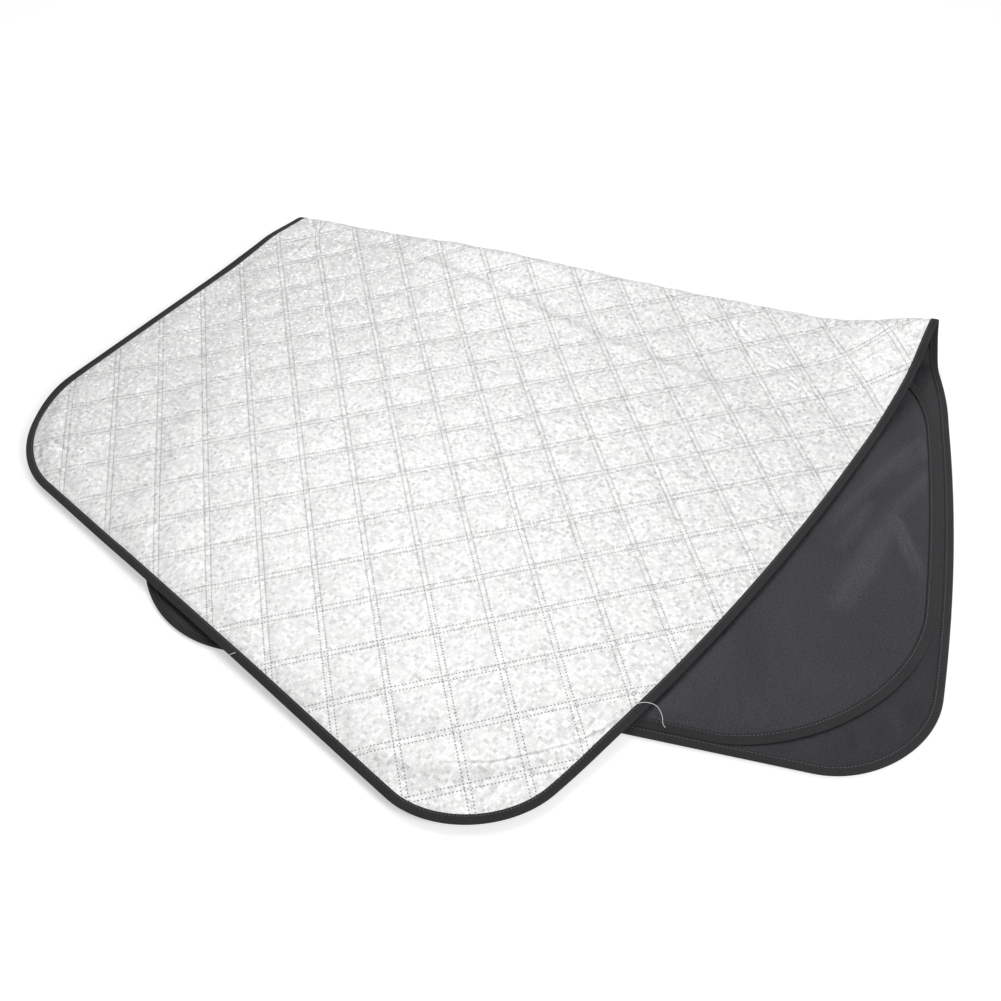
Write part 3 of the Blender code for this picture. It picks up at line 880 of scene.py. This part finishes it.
def body_sheets(foil, cloth):
    """The quilted foil cover and the lining, which share the rows of points of the face between them."""
    edge = shade_outline(0.004)
    into = inward(edge)
    rim = edge + into * RIM
    under_tape = edge + into * BINDING_WIDTH
    beside_tape = edge + into * (BINDING_WIDTH + 0.0018)
    rows = fold_rows(0.010, 14)
    plain = np.vstack([grid(SHADE_EDGE.min(axis=0), SHADE_EDGE.max(axis=0), 0.007), rows])
    plain = near_shade(plain)
    plain = plain[inside_by(plain, SHADE_EDGE) > BINDING_WIDTH + 0.004]
    plain = apart(plain, len(rows))
    creases = foil_creases()
    fine = near_shade(np.vstack([quilt_grid(), crease_rows(creases), rows]))
    fine = fine[inside_by(fine, SHADE_EDGE) > BINDING_WIDTH + 0.0035]

    inner = triangulated([rim, under_tape], plain)
    outer = triangulated([rim, under_tape, beside_tape], fine)
    none = np.zeros(len(inner[0]))
    count = len(edge)
    relief, marks = foil_relief(outer[0], 2 * count, creases)
    cover = slab(outer, inner, relief, none, count)
    raised = lining_fold(inner[0])
    lining = slab(inner, inner, LINING_TOP - raised, LINING_BOTTOM - raised, count)
    foil_cover = add_piece("foil_cover", *cover, foil, "foil", np.append(marks, none))
    # painted highlight where the lining stands up
    lining_painted_highlight = np.tile(0.4 * raised / LINING_RISE, 2)
    lining_cloth = add_piece("lining_cloth", *lining, cloth, "lining_cloth", lining_painted_highlight)
    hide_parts("quilted_panel")
    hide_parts("lining")
    return foil_cover, lining_cloth


def apart(points, kept):
    """Drop the grid points that crowd the rows of the fold."""
    along, across = along_and_across(points)
    quarter = math.pi * loop_height(along) / 4
    crowd = np.abs(across) < quarter + 0.002
    rows = np.arange(len(points)) >= len(points) - kept
    return points[rows | ~crowd]


def swept(points, normals, section):
    """Sweep a section of (distance in, level) corners round an outline, with its flat coordinates."""
    rings, flats = [], []
    far = np.append(travelled(points), 0.0)
    girth = travelled(np.array(section))
    for (distance, level), over in zip(section, girth):
        rings.append(bent(points + normals * distance, np.zeros(len(points)) + level))
        flats.append(np.column_stack([far[:len(points)], np.full(len(points), over)]))
    places = np.stack(rings, axis=1).reshape(-1, 3)
    flat = np.stack(flats, axis=1).reshape(-1, 2)
    size, count = len(section), len(points)
    faces = []
    for i in range(count):
        here, ahead = i * size, (i + 1) % count * size
        faces += [(here + k, here + (k + 1) % size, ahead + (k + 1) % size, ahead + k) for k in range(size)]
    return places, faces, flat


def edge_section():
    """Section of the edge tape: its outside from the foil lip round to the lining lip, then its inside."""
    top, low = PANEL_THICKNESS, TAPE_LOW
    middle, half = (top + low) / 2, (top - low) / 2
    round_end = [(half * (1 - math.cos(a)) * 0.8, middle + half * math.sin(a))
                 for a in np.radians([75, 50, 25, 0, -25, -50, -75])]
    outside = [(BINDING_WIDTH, top - 0.0002), (BINDING_WIDTH - 0.0006, top), (0.006, top)] + round_end
    outside += [(0.006, low), (BINDING_WIDTH - 0.0006, low), (BINDING_WIDTH, low + 0.0002)]
    inside_top, inside_low = TAPE_LIP, low + TAPE_THICKNESS
    turn = 0.0006
    inside_line = [(BINDING_WIDTH, inside_low), (TAPE_WEB + turn, inside_low), (TAPE_WEB, inside_low + turn),
                   (TAPE_WEB, inside_top - turn), (TAPE_WEB + turn, inside_top), (BINDING_WIDTH, inside_top)]
    return outside + inside_line


def edge_binding(tape):
    """The tape round the whole shade."""
    edge = shade_outline(0.004)
    piece = add_piece("edge_tape", *swept(edge, inward(edge), edge_section()), tape, "binding_tape")
    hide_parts("edge_binding")
    return piece, edge


def uncovered(points):
    """1 on the back half where the front half leaves it uncovered, and 0 elsewhere."""
    return smooth(overhang(points) / 0.03) * smooth(along_and_across(points)[1] / 0.05)


def wing_fold(points, from_tape):
    """How far the back wing's uncovered cloth stands up in soft wrinkles, and the painted highlight on their
    ridges.
    """
    height = np.zeros(len(points))
    for line, rise, width in WING_WRINKLES:
        distance, place = to_line(points, line)
        place = place / travelled(np.array(line))[-1]
        height += rise * np.exp(-(distance / width) ** 2) * (1 - (2 * place - 1) ** 4)
    free = uncovered(points) * smooth(from_tape / 0.010)
    ripple = WING_RIPPLE * (1 + ripples(points, 0.08, 11))
    return (height + ripple) * free, np.clip(height / 0.0030, 0, 1) * free


def lining_fold(points):
    """How far the lining stands up beside the back wing, where nothing lies on it."""
    beside = smooth(-inside_by(points, BACK_WING_EDGE) / 0.012)
    inside = smooth((inside_by(points, SHADE_EDGE) - BINDING_WIDTH) / 0.014)
    return LINING_RISE * (1 + ripples(points * (1.0, 2.2), 0.045, 23)) * beside * inside * uncovered(points)


def clear_of_tape(edge):
    """A wing's edge, moved in where it would lie under the shade's own tape."""
    short = np.clip(BINDING_WIDTH + SEWN_CLEAR - side_distance(edge), 0, None)
    return edge + inward(edge) * short[:, None]


def wing(side, name, cloth, tape):
    """A wing's sheet and the tape round its edge."""
    edge = clear_of_tape(wing_outline(side, 0.004))
    into = inward(edge)
    rim = edge + into * RIM
    under_tape = edge + into * WING_TAPE_WIDTH
    points = np.vstack([grid(edge.min(axis=0), edge.max(axis=0), 0.0045), fold_rows(0.012, 10)])
    points = points[inside_by(points, edge[::4]) > WING_TAPE_WIDTH + 0.003]
    flat = triangulated([rim, under_tape], points)
    from_edge, place = to_line(flat[0], edge[::2], closed=True)
    from_tape = from_edge - WING_TAPE_WIDTH
    pucker = np.sin(2 * math.pi * place / 0.011) * np.exp(-np.clip(from_tape, 0, 1) / 0.007)
    inner = np.arange(len(flat[0])) >= 2 * len(edge)
    # marks: painted highlight on the wrinkle ridges
    raised, marks = wing_fold(flat[0], from_tape)
    level = WING_MIDDLE - raised - 0.00022 * (1 + pucker) * inner
    sheet = slab(flat, flat, level + WING_THICKNESS / 2, level - WING_THICKNESS / 2, len(edge))
    cloth_piece = add_piece(name + "_cloth", *sheet, cloth, "wing_cloth", np.tile(marks, 2))
    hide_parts(name)

    half, lip = WING_TAPE_HALF, WING_TAPE_HALF - WING_TAPE_THICKNESS
    section = [(WING_TAPE_WIDTH, half), (0.0014, half), (0.0004, 0.7 * half), (0.0, 0.0),
               (0.0004, -0.7 * half), (0.0014, -half), (WING_TAPE_WIDTH, -half), (WING_TAPE_WIDTH, -lip),
               (TAPE_WEB, -lip), (TAPE_WEB, lip), (WING_TAPE_WIDTH, lip)]
    section = [(distance, WING_MIDDLE + over) for distance, over in section]
    tape_piece = add_piece(name + "_tape", *swept(edge, into, section), tape, "binding_tape")
    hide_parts(name + "_binding")
    return cloth_piece, tape_piece, edge


def stitch_row(edge, distance, level):
    """Places of the stitches along a taped edge: slim lozenges that lie half sunk in the tape."""
    far = travelled(np.vstack([edge, edge[:1]]))
    count = round(far[-1] / STITCH_PITCH)
    middles = np.arange(count) * far[-1] / count
    half = STITCH_LENGTH / 2
    closed = np.vstack([edge, edge[:1]])
    normals = np.vstack([inward(edge), inward(edge)[:1]])
    corners = []
    for shift, width in ((-half, 0.0), (-0.6 * half, 1.0), (0.6 * half, 1.0), (half, 0.0)):
        place = (middles + shift) % far[-1]
        base = np.column_stack([np.interp(place, far, closed[:, axis]) for axis in (0, 1)])
        into = np.column_stack([np.interp(place, far, normals[:, axis]) for axis in (0, 1)])
        around = ((0, 0),) if width == 0 else ((1, 0), (0, 1), (-1, 0), (0, -1))
        for side, up in around:
            flat = base + into * (distance + side * STITCH_RADIUS)
            corners.append(bent(flat, np.zeros(len(flat)) + level + up * STITCH_RADIUS))
    return np.stack(corners, axis=1)


def stitches(name, rows, thread):
    """One piece of all the stitches of some rows."""
    places = np.vstack(rows)
    faces = []
    for first in range(0, 10 * len(places), 10):
        for k in range(4):
            after = (k + 1) % 4
            near, near_after = first + 1 + k, first + 1 + after
            far, far_after = near + 4, near_after + 4
            faces += [(first, near_after, near), (first + 9, far, far_after),
                      (near, near_after, far_after, far)]
    mesh = bpy.data.meshes.new(name)
    mesh.from_pydata(places.reshape(-1, 3).tolist(), [], faces)
    mesh.materials.append(thread)
    turned_out(mesh)
    mesh.shade_smooth()
    piece = bpy.data.objects.new(name, mesh)
    bpy.context.scene.collection.objects.link(piece)
    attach(piece, "root")
    return piece


def turned_out(mesh):
    """Point all faces of closed shells outwards."""
    work = bmesh.new()
    work.from_mesh(mesh)
    bmesh.ops.recalc_face_normals(work, faces=work.faces)
    work.to_mesh(mesh)
    work.free()


def thread_piece(name, points, thread):
    """A bit of thread along a smooth line through points."""
    curve = bpy.data.curves.new(name, "CURVE")
    curve.dimensions = "3D"
    curve.bevel_depth = THREAD_RADIUS
    curve.bevel_resolution = 2
    curve.use_fill_caps = True
    curve.materials.append(thread)
    spline = curve.splines.new("NURBS")
    spline.points.add(len(points) - 1)
    spline.order_u = min(4, len(points))
    spline.use_endpoint_u = True
    for point, place in zip(spline.points, points):
        point.co = (*place, 1.0)
    piece = bpy.data.objects.new(name, curve)
    bpy.context.scene.collection.objects.link(piece)
    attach(piece, "root")
    return piece


def threads():
    """The loose thread end on the back wing, and the pale stitch across the edge tape."""
    white = thread_finish("white_thread", (0.80, 0.80, 0.80))
    loose = thread_piece("loose_thread", LOOSE_THREAD, white)
    thread_piece("pale_stitch", PALE_STITCH, white)


# Studio


def camera():
    """Camera at the photograph's place."""
    data = bpy.data.cameras.new("camera")
    data.sensor_width = 36.0
    data.lens = CAMERA_LENS
    piece = bpy.data.objects.new("camera", data)
    bpy.context.scene.collection.objects.link(piece)
    turn = Matrix((CAMERA_RIGHT, CAMERA_UP, CAMERA_BACK)).transposed().to_4x4()
    piece.matrix_world = Matrix.Translation(Vector(CAMERA_AT) - Vector(ORIGIN)) @ turn
    bpy.context.scene.camera = piece


def lamp(name, place, size, power):
    """Square area lamp that looks at the middle of the shade."""
    data = bpy.data.lights.new(name, "AREA")
    data.size = size
    data.energy = power
    piece = bpy.data.objects.new(name, data)
    piece.location = place
    piece.rotation_euler = (-Vector(place)).to_track_quat("-Z", "Y").to_euler()
    bpy.context.scene.collection.objects.link(piece)


def studio():
    """White floor that keeps a soft shadow, an even pale world and two soft lamps."""
    bpy.ops.mesh.primitive_plane_add(size=30, location=(0, 0, -0.0006))
    floor = bpy.context.object
    floor.name = "floor"
    floor.select_set(False)
    paint = Finish("white_floor")
    paint.set(Base_Color=(0.80, 0.80, 0.80, 1.0), Roughness=0.9)
    paint.set(Emission_Color=paint.mix(paint.seen_directly(), (0.0, 0.0, 0.0, 1.0), (1.0, 1.0, 1.0, 1.0)))
    paint.set(Emission_Strength=FLOOR_LIFT)
    floor.data.materials.append(paint.material)

    world = bpy.data.worlds.new("studio")
    backdrop = Tree(world)
    light = backdrop.nodes["Background"]
    light.inputs["Color"].default_value = (1.0, 1.0, 1.0, 1.0)
    backdrop.join(light.inputs["Strength"], WORLD_LIGHT + (1.0 - WORLD_LIGHT) * backdrop.seen_directly())
    bpy.context.scene.world = world
    for name, place, size, power in LAMPS:
        lamp(name, place, size, power)
    bpy.context.scene.view_settings.view_transform = "Standard"


def main():
    for piece in bpy.context.selected_objects:
        piece.select_set(False)
    camera()
    threads()
    studio()
    foil = foil_finish()
    lining = cloth_finish("black_lining", (0.0195, 0.019, 0.022), 0.03, 0.0010)
    wing_cloth = cloth_finish("black_wing_cloth", (0.032, 0.031, 0.036), 0.04, 0.0009)
    tape = tape_finish()
    black_thread = thread_finish("black_thread", (0.085, 0.085, 0.088))
    foil_cover, lining_cloth = body_sheets(foil, lining)
    edge_tape, edge = edge_binding(tape)
    front, front_tape, front_edge = wing(-1, "front_wing", wing_cloth, tape)
    back, back_tape, back_edge = wing(1, "back_wing", wing_cloth, tape)

    inset = BINDING_WIDTH - STITCH_INSET
    stitches("edge_stitches", [stitch_row(edge, inset, PANEL_THICKNESS), stitch_row(edge, inset, TAPE_LOW)],
             black_thread)
    inset = WING_TAPE_WIDTH - STITCH_INSET
    under = WING_MIDDLE - WING_TAPE_HALF
    stitches("wing_stitches", [stitch_row(front_edge, inset, under), stitch_row(back_edge, inset, under)],
             black_thread)


main()
